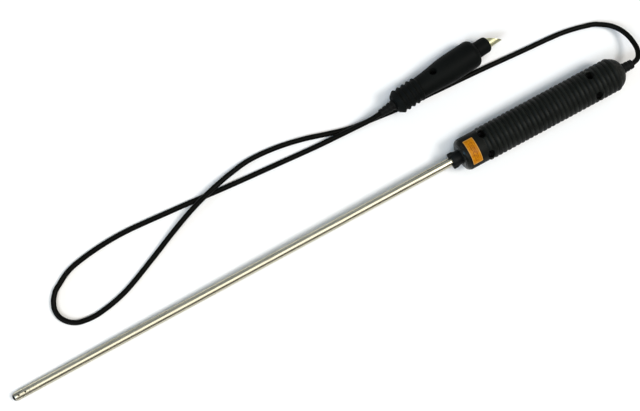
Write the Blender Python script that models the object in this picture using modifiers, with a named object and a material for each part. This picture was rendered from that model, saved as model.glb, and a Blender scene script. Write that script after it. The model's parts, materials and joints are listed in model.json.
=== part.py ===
"""Grain lance probe: steel tube with a sensor tip, ribbed handle, lead and plug.

Metres, +Z up, lying as it rests on a table: tip towards -X, lead and plug on +Y.
Probe and plug pieces are built in axis frames: local Z runs along the piece's axis
(towards the lead on the probe, towards the contacts on the plug), local X is its
upper side and local Y its -Y side. Zero is the handle's front face, or the plug's
rear face.
"""

import math

import bmesh
import bpy
from mathutils import Matrix, Vector

MM = 0.001
GAP = 0.3  # clearance between touching pieces, mm

# Probe, mm along the axis from the handle's front face
TUBE_R = 4.0
TUBE_BORE = 3.2
TUBE_OUT = 442.0
TUBE_IN = 42.0
TIP_END = 444.0
HANDLE_R = 16.0
GROOVE_R = 14.8
SMOOTH_R = 15.2
HANDLE_L = 170.0
RIB_START = 23.0
RIB_PITCH = 4.6
RIB_COUNT = 30
WALL_BACK = 162.0
BOOT_OUT = 11.0
SCREW_ROWS = (24.4, 136.7)
SCREW_SIDE = 9.9
BOSS_R = 4.5
RECESS_R = 3.4
SCREW_SEAT = 3.0
SPLIT_GAP = 0.3
HANDLE_ROLL = math.radians(7.0)

LABEL_FROM = 5.5
LABEL_TO = 15.3
LABEL_HALF = math.radians(49.5)
LABEL_TURN = math.radians(-0.7)

# Lead
CABLE_R = 2.4

# Plug, mm along its axis from its rear face
PLUG_R = 13.2
PLUG_L = 89.5
NOSE_R = 7.6
NOSE_L = 14.2
SHELL_R = 4.5
SHELL_L = 12.8
SHELL_SLANT = math.radians(52.0)
PLUG_RIDGE = 5.0
PLUG_RIDGE_PITCH = 5.07
PLUG_ROLL = math.radians(-28.0)
PLUG_SCREW_AT = 43.6
PLUG_BOOT_OUT = 15.5
PLUG_REAR = (101.8, 69.1, 15.5)
PLUG_YAW = math.radians(5.3)
PLUG_PITCH = math.radians(1.5)

STEPS = 24

first_crest = RIB_START + 0.5 * RIB_PITCH
TILT = math.atan((HANDLE_R - TUBE_R) / (TUBE_OUT + first_crest))
FRONT_HEIGHT = TUBE_OUT * math.sin(TILT) + TUBE_R * math.cos(TILT)
# the handle's front face, so that the probe's length is centred on X = 0
FRONT_X = 0.5 * (TIP_END - HANDLE_L - BOOT_OUT) * math.cos(TILT) - 0.01


def clear_scene():
    for obj in list(bpy.data.objects):
        bpy.data.objects.remove(obj, do_unlink=True)


clear_scene()
parts = bpy.data.collections.new("grain_lance_probe")
cutters = bpy.data.collections.new("cutters")
cutters.hide_render = True
for collection in (parts, cutters):
    bpy.context.scene.collection.children.link(collection)


def material(name, color, roughness, metallic=0.0):
    made = bpy.data.materials.new(name)
    made.use_nodes = True
    shader = made.node_tree.nodes["Principled BSDF"]
    shader.inputs["Base Color"].default_value = (*color, 1.0)
    shader.inputs["Roughness"].default_value = roughness
    shader.inputs["Metallic"].default_value = metallic
    made.diffuse_color = (*color, 1.0)
    return made


steel = material("steel", (0.62, 0.60, 0.56), 0.25, 1.0)
plated = material("plated", (0.70, 0.69, 0.64), 0.25, 1.0)
gold = material("contact_gold", (0.85, 0.62, 0.28), 0.3, 1.0)
zinc = material("zinc_screw", (0.06, 0.06, 0.062), 0.45, 1.0)
brass = material("brass", (0.72, 0.55, 0.28), 0.35, 1.0)
handle_plastic = material("handle_plastic", (0.035, 0.036, 0.036), 0.5)
nose_plastic = material("nose_plastic", (0.025, 0.025, 0.025), 0.45)
plug_plastic = material("plug_plastic", (0.03, 0.031, 0.032), 0.5)
rubber = material("rubber", (0.02, 0.02, 0.02), 0.7)
cable_jacket = material("cable_jacket", (0.02, 0.02, 0.019), 0.45)
label_paint = material("label", (0.85, 0.48, 0.10), 0.5)
board_green = material("board", (0.03, 0.16, 0.07), 0.45)
chip_black = material("chip", (0.03, 0.03, 0.03), 0.5)
white_plastic = material("white_plastic", (0.75, 0.75, 0.72), 0.5)


def empty(name, matrix, parent=None):
    made = bpy.data.objects.new(name, None)
    made.empty_display_size = 0.01
    parts.objects.link(made)
    made.parent = parent
    made.matrix_basis = matrix
    return made


# columns: the local X, Y and Z axes of an axis frame, for a level axis along +X
AXIS_FRAME = Matrix(((0, 0, 1, 0), (0, -1, 0, 0), (1, 0, 0, 0), (0, 0, 0, 1)))


def along(matrix):
    return matrix @ AXIS_FRAME


probe_front = Vector((FRONT_X, 0.0, FRONT_HEIGHT)) * MM
probe_axis = empty(
    "probe_axis",
    along(Matrix.Translation(probe_front) @ Matrix.Rotation(-TILT, 4, "Y")),
)
handle_frame = empty("handle_frame", Matrix.Rotation(HANDLE_ROLL, 4, "Z"), probe_axis)
label_frame = empty("label_frame", Matrix.Rotation(LABEL_TURN, 4, "Z"), handle_frame)
plug_axis = empty(
    "plug_axis",
    along(
        Matrix.Translation(Vector(PLUG_REAR) * MM)
        @ Matrix.Rotation(PLUG_YAW, 4, "Z")
        @ Matrix.Rotation(PLUG_PITCH, 4, "Y")
    ),
)
plug_frame = empty("plug_frame", Matrix.Rotation(PLUG_ROLL, 4, "Z"), plug_axis)


def add(name, mesh, paint, frame, smooth=True):
    """An object for a node, or for a cutter when paint is None."""
    made = bpy.data.objects.new(name, mesh)
    if paint is None:
        cutters.objects.link(made)
        made.hide_render = True
        made.display_type = "WIRE"
    else:
        parts.objects.link(made)
        mesh.materials.append(paint)
    made.parent = frame
    if smooth and paint is not None and mesh.polygons:
        mesh.shade_smooth()
        mesh.set_sharp_from_angle(angle=math.radians(32))
    return made


def turned(name, profile, paint, frame, steps=STEPS, closed=False):
    """A turned solid: (z, r) points in mm, front to rear; closed joins the last to the first."""
    mesh = bpy.data.meshes.new(name)
    points = [(r * MM, 0.0, z * MM) for z, r in reversed(profile)]
    count = len(points)
    edges = [(i, i + 1) for i in range(count - 1)]
    if closed:
        edges.append((count - 1, 0))
    mesh.from_pydata(points, edges, [])
    made = add(name, mesh, paint, frame)
    screw = made.modifiers.new("turn", "SCREW")
    screw.axis = "Z"
    screw.angle = math.tau
    screw.steps = steps
    screw.render_steps = steps
    screw.use_merge_vertices = True
    screw.merge_threshold = 0.00001
    screw.use_smooth_shade = True
    return made


def ring(name, z0, z1, r0, r1, paint, frame, steps=STEPS):
    """A plain sleeve from z0 to z1, between radii r0 and r1."""
    return turned(name, [(z0, r1), (z1, r1), (z1, r0), (z0, r0)], paint, frame, steps, True)


def rod(name, z0, z1, r, paint, frame, steps=STEPS, edge=0.0):
    """A solid rod, its two edges broken by edge mm."""
    if edge:
        profile = [(z0, 0), (z0, r - edge), (z0 + edge, r), (z1 - edge, r), (z1, r - edge), (z1, 0)]
    else:
        profile = [(z0, 0), (z0, r), (z1, r), (z1, 0)]
    return turned(name, profile, paint, frame, steps)


def box(name, low, high, paint, frame, edge=0.0):
    """A box between two corners in mm; edge bevels it."""
    mesh = bpy.data.meshes.new(name)
    form = bmesh.new()
    bmesh.ops.create_cube(form, size=1.0)
    size = [(b - a) * MM for a, b in zip(low, high)]
    middle = [(a + b) * 0.5 * MM for a, b in zip(low, high)]
    bmesh.ops.scale(form, vec=size, verts=form.verts)
    bmesh.ops.translate(form, vec=middle, verts=form.verts)
    form.to_mesh(mesh)
    form.free()
    made = add(name, mesh, paint, frame, smooth=False)
    if edge:
        bevel = made.modifiers.new("edges", "BEVEL")
        bevel.width = edge * MM
        bevel.segments = 1
        bevel.limit_method = "ANGLE"
    return made


def drum(name, centre, axis, r, length, paint, frame, steps=16):
    """A cylinder about a local axis ("X", "Y" or "Z"), starting at centre, mm."""
    mesh = bpy.data.meshes.new(name)
    form = bmesh.new()
    turn = {
        "X": Matrix.Rotation(math.pi / 2, 4, "Y"),
        "Y": Matrix.Rotation(-math.pi / 2, 4, "X"),
        "Z": Matrix.Identity(4),
    }[axis]
    lift = Matrix.Translation((0, 0, 0.5 * length * MM))
    place = Matrix.Translation(Vector(centre) * MM) @ turn @ lift
    bmesh.ops.create_cone(
        form,
        cap_ends=True,
        segments=steps,
        radius1=r * MM,
        radius2=r * MM,
        depth=length * MM,
        matrix=place,
    )
    form.to_mesh(mesh)
    form.free()
    return add(name, mesh, paint, frame)


def wedge(name, half_angle, r, z0, z1, frame):
    """A cutter: a slice of a disc, half_angle either side of local X."""
    mesh = bpy.data.meshes.new(name)
    form = bmesh.new()
    reach = r / math.cos(half_angle / 2)
    rim = [-half_angle, -half_angle / 2, 0.0, half_angle / 2, half_angle]
    lower = [form.verts.new((0, 0, z0 * MM))]
    for turn in rim:
        spot = (reach * math.cos(turn) * MM, reach * math.sin(turn) * MM, z0 * MM)
        lower.append(form.verts.new(spot))
    face = form.faces.new(lower)
    raised = bmesh.ops.extrude_face_region(form, geom=[face])
    moved = [item for item in raised["geom"] if isinstance(item, bmesh.types.BMVert)]
    bmesh.ops.translate(form, vec=(0, 0, (z1 - z0) * MM), verts=moved)
    bmesh.ops.recalc_face_normals(form, faces=form.faces)
    form.to_mesh(mesh)
    form.free()
    return add(name, mesh, None, frame)


def boolean(target, other, operation="DIFFERENCE"):
    cut = target.modifiers.new(other.name, "BOOLEAN")
    cut.operation = operation
    cut.solver = "EXACT"
    cut.object = other
    return target


# ---------------------------------------------------------------- probe tube and tip

tube = turned(
    "probe_tube",
    [
        (-TUBE_OUT, TUBE_BORE),
        (-TUBE_OUT, 3.45),
        (-TUBE_OUT + 0.6, 3.85),
        (-TUBE_OUT + 1.4, TUBE_R),
        (TUBE_IN, TUBE_R),
        (TUBE_IN, TUBE_BORE),
    ],
    steel,
    probe_axis,
    STEPS,
    True,
)
vent_frames = []
for row in range(3):
    for step in range(2):
        turn = math.radians(90 * step + 45 * (row % 2))
        spin = empty(f"vent_frame_{row}_{step}", Matrix.Rotation(turn, 4, "Z"), probe_axis)
        hole_z = -TUBE_OUT + 4.2 + 3.1 * row
        hole = drum(f"cut_vent_{row}_{step}", (-6, 0, hole_z), "X", 0.65, 12, None, spin, 8)
        vent_frames.append(hole)
for hole in vent_frames:
    boolean(tube, hole)

turned(
    "tip_plug",
    [
        (-TIP_END, 0),
        (-TIP_END, 1.7),
        (-TIP_END + 0.4, 2.4),
        (-TIP_END + 1.0, 3.0),
        (-TUBE_OUT - GAP, 3.4),
        (-TUBE_OUT - GAP, TUBE_BORE - GAP),
        (-TUBE_OUT + 2.2, TUBE_BORE - GAP),
        (-TUBE_OUT + 2.6, 2.4),
        (-TUBE_OUT + 2.6, 0),
    ],
    nose_plastic,
    probe_axis,
)
box("sensor_board", (-0.4, -2.5, -436.8), (0.4, 2.5, -400.0), board_green, probe_axis)
box("sensor_element", (0.7, -1.3, -435.5), (1.7, 1.3, -432.5), white_plastic, probe_axis, 0.2)
ring("tube_seal", -398.0, -391.0, 1.4, TUBE_BORE - GAP, rubber, probe_axis, 20)
rod("inner_lead", -399.7, 52.6, 1.1, cable_jacket, probe_axis, 12)

# ---------------------------------------------------------------- clamp nut and bush

NUT_FRONT = -8.6
LUG_FRONT = -10.3
NUT_BORE = TUBE_R + GAP
SPIGOT_R = 5.3
nut = turned(
    "clamp_nut",
    [
        (NUT_FRONT, NUT_BORE),
        (NUT_FRONT, 6.4),
        (NUT_FRONT + 0.8, 7.2),
        (-5.0, 7.4),
        (-2.6, 6.7),
        (5.0, 6.6),
        (5.0, SPIGOT_R + GAP),
        (-5.2, SPIGOT_R + GAP),
        (-5.2, NUT_BORE),
    ],
    nose_plastic,
    probe_axis,
    STEPS,
    True,
)
for number in range(3):
    turn = math.radians(60 + 120 * number)
    spin = empty(f"lug_frame_{number}", Matrix.Rotation(turn, 4, "Z"), probe_axis)
    lug = turned(
        f"add_lug_{number}",
        [
            (LUG_FRONT, 0),
            (LUG_FRONT, 1.8),
            (LUG_FRONT + 0.7, 2.5),
            (-5.9, 2.5),
            (-5.9, 0),
        ],
        None,
        spin,
        12,
    )
    lug.location = (5.9 * MM, 0, 0)
    boolean(nut, lug, "UNION")
boolean(nut, rod("cut_nut_bore", -12.0, -5.6, NUT_BORE, None, probe_axis))

collet = ring("tube_collet", -4.9, -0.6, NUT_BORE, SPIGOT_R, brass, probe_axis, 24)
boolean(collet, box("cut_collet_slot", (-8, -0.4, -6), (0, 0.4, 1), None, probe_axis))
turned(
    "nose_bush",
    [
        (-0.2, NUT_BORE),
        (-0.2, SPIGOT_R),
        (5.7, SPIGOT_R),
        (5.7, 9.0),
        (8.6, 9.0),
        (8.6, 6.5),
        (17.5, 6.5),
        (17.5, NUT_BORE),
    ],
    brass,
    probe_axis,
    24,
    True,
)
ring("tube_anchor", 32.0, 36.0, NUT_BORE, 11.4, nose_plastic, probe_axis, 24)

# ---------------------------------------------------------------- handle shells


def handle_profile():
    """The outside of the closed handle: rounded front, smooth band, ribs, domed rear."""
    points = [(0, 0), (0, 10.8), (1.0, 13.2), (2.6, 14.6), (4.6, SMOOTH_R)]
    points.append((RIB_START - 0.9, SMOOTH_R))
    for rib in range(RIB_COUNT):
        start = RIB_START + rib * RIB_PITCH
        points.append((start, GROOVE_R))
        points.append((start + 0.5 * RIB_PITCH, HANDLE_R))
    points.append((RIB_START + RIB_COUNT * RIB_PITCH, GROOVE_R))
    points += [(162.8, 14.1), (165.0, 12.8), (167.0, 11.0), (168.8, 8.5), (HANDLE_L, 5.9), (HANDLE_L, 0)]
    return points


def handle_cavity():
    return [
        (5.3, 0),
        (5.3, 9.3),
        (8.9, 9.3),
        (8.9, 6.8),
        (12.0, 6.8),
        (12.0, 11.8),
        (152.0, 11.8),
        (155.0, 10.6),
        (158.3, 7.3),
        (WALL_BACK, 7.3),
        (WALL_BACK, 0),
    ]


cavities = {}
for half in ("upper", "lower"):
    cavity = turned(f"cut_cavity_{half}", handle_cavity(), None, probe_axis, 24)
    for row, place in enumerate(SCREW_ROWS):
        for side in (-1, 1):
            centre = (-14, side * SCREW_SIDE, place)
            keep = drum(f"keep_boss_{half}_{row}_{side}", centre, "X", BOSS_R, 28, None, handle_frame, 12)
            boolean(cavity, keep)
    cavities[half] = cavity
# two ledges in the lower shell carry the circuit board
for number, place in enumerate((54.0, 108.0)):
    low = (-14, -12, place)
    ledge = box(f"keep_ledge_{number}", low, (-5.4, 12, place + 3), None, handle_frame)
    boolean(cavities["lower"], ledge)

front_hole = rod("cut_front_hole", -2.0, 6.0, 6.9, None, probe_axis)
rear_hole = rod("cut_rear_hole", WALL_BACK - 1.0, HANDLE_L + 2, 4.3, None, probe_axis)
label_pocket = ring(
    "cut_label_pocket", LABEL_FROM - GAP, LABEL_TO + GAP, SMOOTH_R - 0.65, 17, None, probe_axis, 48
)
pocket_slice = wedge("cut_label_slice", LABEL_HALF + 0.022, 20, 0, 25, label_frame)
boolean(label_pocket, pocket_slice, "INTERSECT")

shells = {}
for half in ("upper", "lower"):
    shell = turned(f"handle_{half}_shell", handle_profile(), handle_plastic, probe_axis, 28)
    sign = 1 if half == "upper" else -1
    if half == "upper":
        away = ((-30, -30, -20), (0.5 * SPLIT_GAP, 30, 200))
    else:
        away = ((-0.5 * SPLIT_GAP, -30, -20), (30, 30, 200))
    boolean(shell, cavities[half])
    boolean(shell, front_hole)
    boolean(shell, rear_hole)
    for row, place in enumerate(SCREW_ROWS):
        for side in (-1, 1):
            name = f"{half}_{row}_{side}"
            if half == "upper":
                centre = (SCREW_SEAT, side * SCREW_SIDE, place)
                boolean(shell, drum(f"cut_recess_{name}", centre, "X", RECESS_R, 15, None, handle_frame, 16))
            shaft = (-7.3, side * SCREW_SIDE, place)
            boolean(shell, drum(f"cut_shaft_{name}", shaft, "X", 1.75, 11.5, None, handle_frame, 10))
    if half == "upper":
        boolean(shell, label_pocket)
    boolean(shell, box(f"cut_split_{half}", *away, None, handle_frame))
    shells[half] = shell

label = ring(
    "label_plate", LABEL_FROM, LABEL_TO, SMOOTH_R - 0.35, SMOOTH_R + 0.1, label_paint, probe_axis, 48
)
label_slice = wedge("cut_label_plate", LABEL_HALF, 20, 0, 25, label_frame)
boolean(label, label_slice, "INTERSECT")

SCREW_NAMES = {(0, -1): "front_left", (0, 1): "front_right", (1, -1): "rear_left", (1, 1): "rear_right"}
screw_mesh = None
for (row, side), place_name in SCREW_NAMES.items():
    head = SCREW_SEAT + GAP
    screw = turned(
        f"handle_screw_{place_name}",
        [
            (-6.9, 0),
            (-6.9, 1.0),
            (-6.2, 1.45),
            (head, 1.45),
            (head, 2.6),
            (head + 1.6, 2.6),
            (head + 2.0, 2.2),
            (head + 2.0, 0),
        ],
        zinc,
        handle_frame,
        12,
    )
    # the screw's own Z points along the handle's upward axis
    screw.matrix_basis = Matrix.Translation(
        Vector((0, side * SCREW_SIDE, SCREW_ROWS[row])) * MM
    ) @ Matrix.Rotation(math.pi / 2, 4, "Y")
    cross = box(
        f"cut_cross_{place_name}", (head + 1.1, -1.5, -0.3), (head + 3, 1.5, 0.3), None, handle_frame
    )
    cross.location = Vector((0, side * SCREW_SIDE, SCREW_ROWS[row])) * MM
    boolean(screw, cross)
    cross_two = box(
        f"cut_cross_two_{place_name}", (head + 1.1, -0.3, -1.5), (head + 3, 0.3, 1.5), None, handle_frame
    )
    cross_two.location = cross.location
    boolean(screw, cross_two)

# ---------------------------------------------------------------- inside the handle

box("handle_board", (-5.0, -8.6, 50.0), (-3.4, 8.6, 116.0), board_green, handle_frame)
box("lead_socket", (-3.1, -3.5, 53.0), (2.0, 3.5, 60.0), white_plastic, handle_frame, 0.4)
box("signal_chip", (-3.1, -3.0, 74.0), (-1.6, 3.0, 80.0), chip_black, handle_frame, 0.3)
box("terminal_block", (-3.1, -5.0, 105.0), (3.0, 5.0, 115.2), white_plastic, handle_frame, 0.4)
ring("cable_grip", 146.0, 150.5, CABLE_R + GAP, 11.4, nose_plastic, probe_axis, 24)

BOOT_BORE = CABLE_R + GAP
turned(
    "rear_boot",
    [
        (158.8, BOOT_BORE),
        (158.8, 6.9),
        (WALL_BACK - GAP, 6.9),
        (WALL_BACK - GAP, 4.0),
        (HANDLE_L + 0.3, 4.0),
        (HANDLE_L + 0.3, 4.8),
        (HANDLE_L + 2.8, 4.75),
        (HANDLE_L + 3.2, 4.1),
        (HANDLE_L + 4.0, 4.1),
        (HANDLE_L + 4.4, 4.6),
        (HANDLE_L + 6.4, 4.55),
        (HANDLE_L + 6.8, 3.95),
        (HANDLE_L + 7.6, 3.95),
        (HANDLE_L + 8.0, 4.4),
        (HANDLE_L + BOOT_OUT - 0.6, 4.3),
        (HANDLE_L + BOOT_OUT, 3.8),
        (HANDLE_L + BOOT_OUT, BOOT_BORE),
    ],
    rubber,
    probe_axis,
    16,
    True,
)

# ---------------------------------------------------------------- plug


def plug_profile():
    """The outside of the closed plug body: tapered end, five ridges, waist, swelling, shoulder."""
    points = [(0, 0), (0, 7.6), (0.8, 8.8), (3.4, 10.6)]
    for number in range(5):
        crest = PLUG_RIDGE + PLUG_RIDGE_PITCH * number
        points += [(crest - 0.5, 11.4), (crest + 0.5, 11.4), (crest + 1.7, 10.1)]
        if number < 4:
            points.append((crest + PLUG_RIDGE_PITCH - 1.7, 10.1))
    points += [
        (31.0, 10.4),
        (37.0, 10.8),
        (44.0, 11.5),
        (52.0, 12.5),
        (60.0, 13.1),
        (68.0, PLUG_R),
        (84.6, PLUG_R),
        (87.0, 12.6),
        (88.7, 11.2),
        (PLUG_L, 9.4),
        (PLUG_L, 0),
    ]
    return points


plug_cavities = {}
for half in ("upper", "lower"):
    cavity = turned(
        f"cut_plug_cavity_{half}",
        [
            (3.0, 0),
            (3.0, 7.3),
            (6.2, 7.3),
            (6.2, 4.9),
            (9.0, 4.9),
            (9.0, 8.0),
            (34.0, 8.2),
            (60.0, 10.2),
            (78.6, 10.4),
            (81.8, 9.8),
            (85.9, 9.8),
            (85.9, 0),
        ],
        None,
        plug_axis,
        24,
    )
    keep = drum(f"keep_plug_boss_{half}", (-14, 0, PLUG_SCREW_AT), "X", 4.6, 28, None, plug_frame, 12)
    boolean(cavity, keep)
    plug_cavities[half] = cavity

plug_front_hole = rod("cut_plug_front", PLUG_L - 5.0, PLUG_L + 2, NOSE_R + GAP, None, plug_axis)
plug_rear_hole = rod("cut_plug_rear", -2.0, 4.0, 4.4, None, plug_axis)
for half in ("upper", "lower"):
    shell = turned(f"plug_{half}_shell", plug_profile(), plug_plastic, plug_axis)
    if half == "upper":
        away = ((-30, -30, -20), (0.5 * SPLIT_GAP, 30, 120))
    else:
        away = ((-0.5 * SPLIT_GAP, -30, -20), (30, 30, 120))
    boolean(shell, plug_cavities[half])
    boolean(shell, plug_front_hole)
    boolean(shell, plug_rear_hole)
    if half == "upper":
        recess = drum("cut_plug_recess", (3.6, 0, PLUG_SCREW_AT), "X", 3.5, 15, None, plug_frame, 16)
        boolean(shell, recess)
    shaft = drum(f"cut_plug_shaft_{half}", (-7.3, 0, PLUG_SCREW_AT), "X", 1.75, 12, None, plug_frame, 10)
    boolean(shell, shaft)
    boolean(shell, box(f"cut_plug_split_{half}", *away, None, plug_frame))

plug_screw = turned(
    "plug_screw",
    [(-6.9, 0), (-6.9, 1.0), (-6.2, 1.45), (3.9, 1.45), (3.9, 2.9), (5.6, 2.9), (6.0, 2.5), (6.0, 0)],
    zinc,
    plug_frame,
    12,
)
plug_screw.matrix_basis = Matrix.Translation((0, 0, PLUG_SCREW_AT * MM)) @ Matrix.Rotation(
    math.pi / 2, 4, "Y"
)
at_screw = Vector((0, 0, PLUG_SCREW_AT)) * MM
for number, (wide, deep) in enumerate(((1.7, 0.3), (0.3, 1.7))):
    cross = box(
        f"cut_plug_cross_{number}", (5.1, -wide, -deep), (7, wide, deep), None, plug_frame
    )
    cross.location = at_screw
    boolean(plug_screw, cross)

NOSE_END = PLUG_L + NOSE_L
SHELL_END = NOSE_END + SHELL_L
turned(
    "plug_nose",
    [
        (82.2, SHELL_R + GAP),
        (82.2, 9.4),
        (85.6, 9.4),
        (85.6, NOSE_R),
        (NOSE_END - 2.6, NOSE_R),
        (NOSE_END - 1.0, 7.0),
        (NOSE_END, 5.9),
        (NOSE_END, SHELL_R + GAP),
    ],
    plug_plastic,
    plug_axis,
    24,
    True,
)
contact_shell = ring(
    "plug_contact_shell", 83.6, SHELL_END, SHELL_R - 0.45, SHELL_R, plated, plug_axis, 24
)
# the shell's end is cut at a slant: short on its +Y side, full length on its -Y side
slant = box("cut_shell_slant", (-12, -20, 0), (12, 20, 20), None, plug_axis)
slant.matrix_basis = Matrix.Translation((0, SHELL_R * MM, SHELL_END * MM)) @ Matrix.Rotation(
    SHELL_SLANT, 4, "X"
)
boolean(contact_shell, slant)
insert = rod("contact_insert", 84.6, NOSE_END + 0.5, SHELL_R - 0.75, white_plastic, plug_axis, 16)
PIN_CIRCLE = 2.1
for number in range(4):
    turn = math.radians(45 + 90 * number)
    spot = (PIN_CIRCLE * math.cos(turn), PIN_CIRCLE * math.sin(turn))
    boolean(insert, drum(f"cut_pin_{number}", (*spot, 82.6), "Z", 0.85, 40, None, plug_axis, 8))
    reach = 6.8 if spot[1] > 0 else 3.0
    pin = rod(f"contact_pin_{number + 1}", 80.6, NOSE_END + reach, 0.5, gold, plug_axis, 8)
    pin.location = (spot[0] * MM, spot[1] * MM, 0)
ring("plug_cable_grip", 12.0, 16.0, BOOT_BORE, 7.7, brass, plug_axis, 20)
turned(
    "plug_boot",
    [
        (-PLUG_BOOT_OUT, BOOT_BORE),
        (-PLUG_BOOT_OUT, 3.5),
        (-12.6, 3.7),
        (-12.2, 3.3),
        (-11.2, 3.3),
        (-10.8, 3.9),
        (-8.4, 4.1),
        (-8.0, 3.6),
        (-7.0, 3.6),
        (-6.6, 4.3),
        (-4.2, 4.5),
        (-3.8, 3.9),
        (-2.8, 3.9),
        (-2.4, 4.8),
        (-0.3, 4.9),
        (-0.3, 4.1),
        (3.3, 4.1),
        (3.3, 7.0),
        (5.9, 7.0),
        (5.9, BOOT_BORE),
    ],
    rubber,
    plug_axis,
    16,
    True,
)

# ---------------------------------------------------------------- lead

bpy.context.view_layer.update()


def on_axis(frame, distance):
    """A world point in mm, at a distance in mm along an axis frame."""
    return frame.matrix_world @ Vector((0, 0, distance * MM)) / MM


# The free run between the two boots: a turn behind the handle, a run under the plug's
# rear, an open loop towards the tip, and back over the first run to the plug.
FREE_ROUTE = [
    (320.4, 2.3, 19.1),
    (325.0, 9.0, 16.6),
    (326.5, 17.0, 13.4),
    (326.2, 25.5, 10.2),
    (323.6, 33.6, 7.2),
    (318.6, 40.6, 4.8),
    (311.2, 46.2, 3.3),
    (302.2, 50.4, 2.6),
    (274.6, 56.0, 2.5),
    (232.1, 58.6, 2.5),
    (188.6, 61.1, 2.5),
    (144.1, 63.0, 2.5),
    (108.1, 64.8, 2.5),
    (79.1, 67.5, 2.5),
    (59.1, 69.6, 2.5),
    (41.1, 73.9, 2.5),
    (16.1, 80.9, 2.5),
    (-9.9, 85.6, 2.5),
    (-34.9, 86.8, 3.2),
    (-55.9, 83.8, 5.6),
    (-78.9, 78.3, 7.7),
    (-100.9, 71.4, 7.4),
    (-125.9, 61.4, 4.6),
    (-150.5, 50.4, 2.6),
    (-185.9, 35.5, 2.5),
    (-212.9, 29.6, 2.5),
    (-229.4, 30.0, 2.5),
    (-238.9, 33.6, 2.5),
    (-245.3, 40.9, 2.5),
    (-247.0, 48.6, 2.5),
    (-245.3, 55.6, 2.5),
    (-241.3, 61.9, 2.5),
    (-234.6, 67.4, 2.5),
    (-213.9, 76.9, 2.5),
    (-169.9, 81.9, 2.5),
    (-115.9, 79.1, 2.5),
    (-62.9, 74.9, 2.5),
    (-11.9, 71.6, 2.5),
    (22.1, 69.4, 3.2),
    (44.1, 68.4, 5.9),
    (60.1, 67.7, 8.6),
    (75.6, 67.0, 13.0),
]
lead_in = [on_axis(probe_axis, z) for z in (115.6, 150.0, HANDLE_L + BOOT_OUT + 0.4)]
lead_out = [on_axis(plug_axis, z) for z in (-PLUG_BOOT_OUT - 0.4, 10.0, 37.0)]
knots = [Vector(p) for p in FREE_ROUTE]


def smooth_route(before_start, points, after_end, spacing):
    """Points every spacing mm along a Catmull-Rom curve through the given points."""
    fine = []
    ends = [before_start, *points, after_end]
    for before, start, end, after in zip(ends, ends[1:], ends[2:], ends[3:]):
        for step in range(24):
            t = step / 24
            fine.append(
                0.5
                * (
                    2 * start
                    + t * (end - before)
                    + t * t * (2 * before - 5 * start + 4 * end - after)
                    + t * t * t * (3 * start - before - 3 * end + after)
                )
            )
    fine.append(points[-1].copy())
    total = sum((b - a).length for a, b in zip(fine, fine[1:]))
    count = round(total / spacing)
    even = [fine[0]]
    walked, target = 0.0, total / count
    for a, b in zip(fine, fine[1:]):
        leg = (b - a).length
        while walked + leg >= target - 1e-6 and len(even) < count:
            even.append(a.lerp(b, (target - walked) / leg))
            target += total / count
        walked += leg
    even.append(fine[-1])
    return even


def cord(name, points, radius, paint):
    curve = bpy.data.curves.new(name, "CURVE")
    curve.dimensions = "3D"
    curve.bevel_depth = radius * MM
    curve.bevel_resolution = 2
    curve.use_fill_caps = True
    spline = curve.splines.new("POLY")
    spline.points.add(len(points) - 1)
    for spot, place in zip(spline.points, points):
        spot.co = (*(place * MM), 1.0)
    curve.materials.append(paint)
    made = bpy.data.objects.new(name, curve)
    parts.objects.link(made)
    return made


before_start = on_axis(probe_axis, HANDLE_L + BOOT_OUT - 8.2)
after_end = on_axis(plug_axis, -PLUG_BOOT_OUT + 8.0)
free_run = smooth_route(before_start, [lead_in[2], *knots, lead_out[0]], after_end, 13.4)
cord("probe_cable", lead_in[:2] + free_run + lead_out[1:], CABLE_R, cable_jacket)
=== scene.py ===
import json
import math

import bmesh
import bpy
from mathutils import Matrix, Vector


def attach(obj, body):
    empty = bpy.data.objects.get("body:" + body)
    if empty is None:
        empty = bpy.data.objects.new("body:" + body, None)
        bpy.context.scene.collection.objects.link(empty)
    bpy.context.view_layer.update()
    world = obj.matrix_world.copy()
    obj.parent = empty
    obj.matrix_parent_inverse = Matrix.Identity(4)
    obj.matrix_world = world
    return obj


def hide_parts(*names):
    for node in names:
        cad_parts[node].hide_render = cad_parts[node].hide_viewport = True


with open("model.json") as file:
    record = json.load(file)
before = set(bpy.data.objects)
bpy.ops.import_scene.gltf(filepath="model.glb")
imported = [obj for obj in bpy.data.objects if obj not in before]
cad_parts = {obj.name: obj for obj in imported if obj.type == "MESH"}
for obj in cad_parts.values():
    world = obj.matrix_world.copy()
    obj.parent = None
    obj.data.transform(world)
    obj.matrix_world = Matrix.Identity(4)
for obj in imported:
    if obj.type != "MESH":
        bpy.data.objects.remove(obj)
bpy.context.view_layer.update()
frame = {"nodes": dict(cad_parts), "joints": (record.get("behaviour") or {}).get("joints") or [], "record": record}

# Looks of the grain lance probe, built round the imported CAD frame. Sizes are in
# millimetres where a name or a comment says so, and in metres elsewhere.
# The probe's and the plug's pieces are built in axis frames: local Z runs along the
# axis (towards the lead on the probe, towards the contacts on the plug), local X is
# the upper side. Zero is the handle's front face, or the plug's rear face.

MM = 0.001
GAP = 0.3  # clearance between touching pieces, mm
CREASE = math.radians(32.0)  # a sharper bend than this is shaded as an edge

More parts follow.
